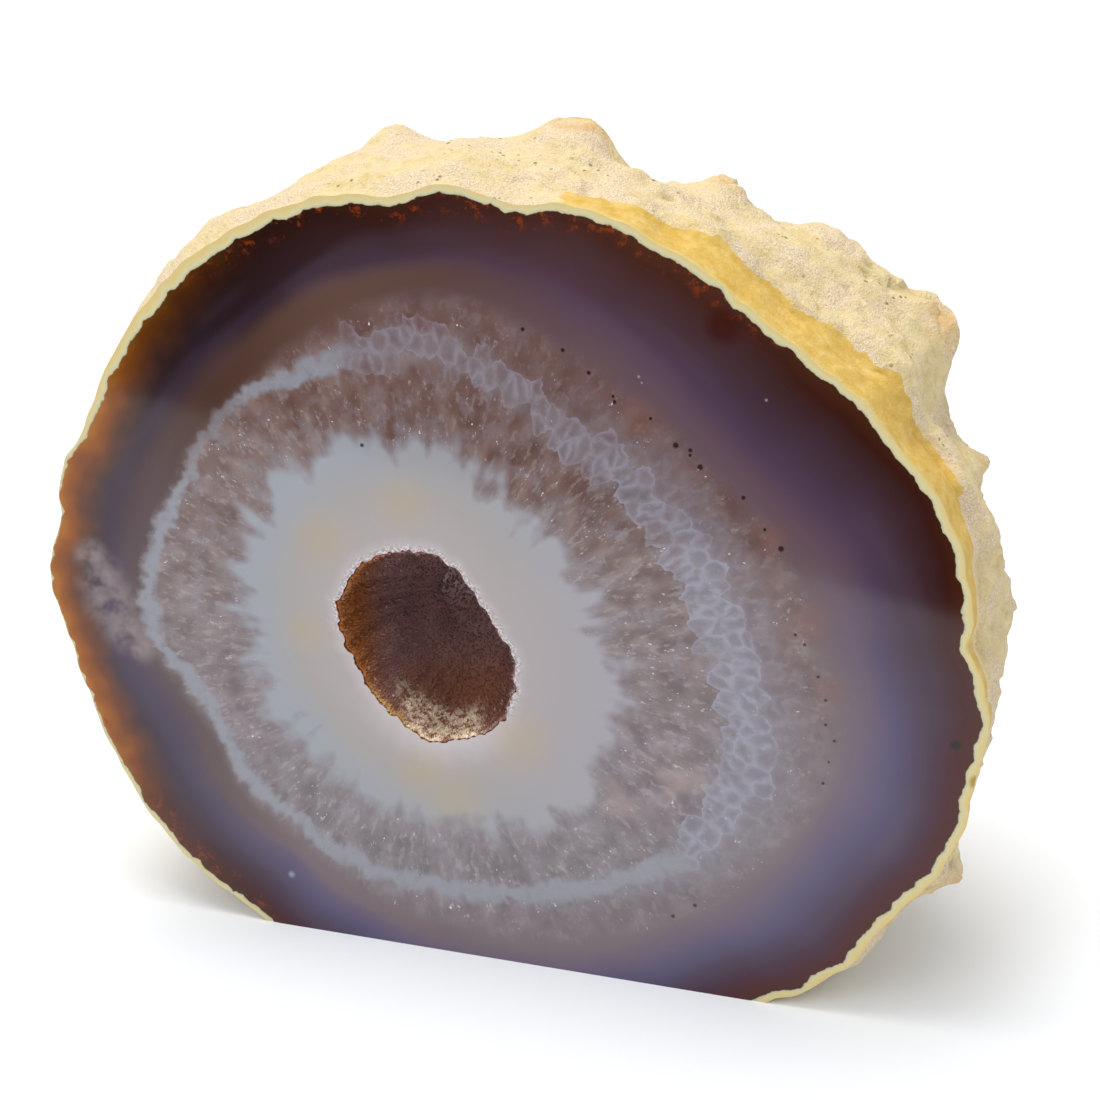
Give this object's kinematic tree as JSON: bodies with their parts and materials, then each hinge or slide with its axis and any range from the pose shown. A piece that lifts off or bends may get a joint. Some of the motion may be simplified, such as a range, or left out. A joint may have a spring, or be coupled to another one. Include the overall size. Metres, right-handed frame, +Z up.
{
  "type": "agate geode with a cut base",
  "caption": "Half of an agate nodule with a polished banded face, a crystal-lined hollow and a flat sawn base to stand on.",
  "frame": {"origin": "on the table, under the middle of the stone's box", "axes": "+X across the polished face, to the right as one looks at it; the face looks towards -Y and leans back 8 degrees; +Z up"},
  "size_m": [0.121, 0.0616, 0.0996],
  "materials": {
    "agate": "polished banded agate on the sawn face, rough cream rind outside",
    "quartz": "small sharp crystals, glossy"
  },
  "bodies": {
    "root": {"agate_stone": "agate", "hollow_crystals": "quartz"}
  },
  "joints": []
}
